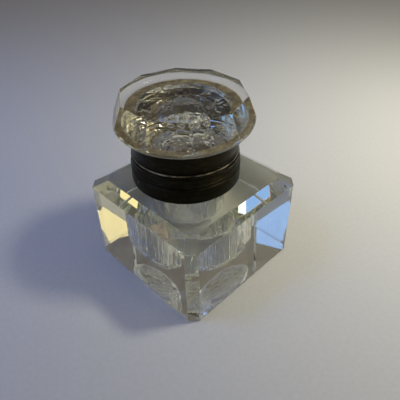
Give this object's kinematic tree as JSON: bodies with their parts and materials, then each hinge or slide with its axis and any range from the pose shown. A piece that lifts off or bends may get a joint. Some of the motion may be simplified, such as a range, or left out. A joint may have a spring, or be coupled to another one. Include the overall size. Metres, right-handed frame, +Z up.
{
  "type": "inkwell",
  "caption": "Square cut-glass inkwell with a drilled round well, a brass collar in two halves and a faceted glass lid that hinges back.",
  "frame": {"origin": "middle of the glass block's underside", "axes": "+Z up; the block's sides are square to X and Y; the hinge is on the +Y side and the lid opens towards +Y"},
  "size_m": [0.05, 0.05, 0.0615],
  "materials": {
    "block_glass": "polished, cut edges",
    "lid_glass": "polished, cut facets",
    "collar_brass": "aged, dark olive-brown patina with worn edges",
    "hinge_brass": "aged, worn on the knuckles",
    "rim_brass": "aged, stained by ink vapour",
    "plaster": "rough, yellowed plaster"
  },
  "bodies": {
    "base": {"glass_block": "block_glass", "neck_cement": "plaster", "lower_collar": "collar_brass", "mouth_rim": "rim_brass", "hinge_leaf_lower": "hinge_brass", "hinge_pin": "hinge_brass"},
    "lid": {"upper_collar": "collar_brass", "lid_cement": "plaster", "glass_lid": "lid_glass", "hinge_leaf_upper": "hinge_brass"}
  },
  "joints": [
    {"name": "lid_hinge", "type": "hinge", "parent": "base", "child": "lid", "pos_m": [-0.003, 0.019, 0.04405], "axis": [-1, 0, 0], "range_deg": [0, 105]}
  ]
}
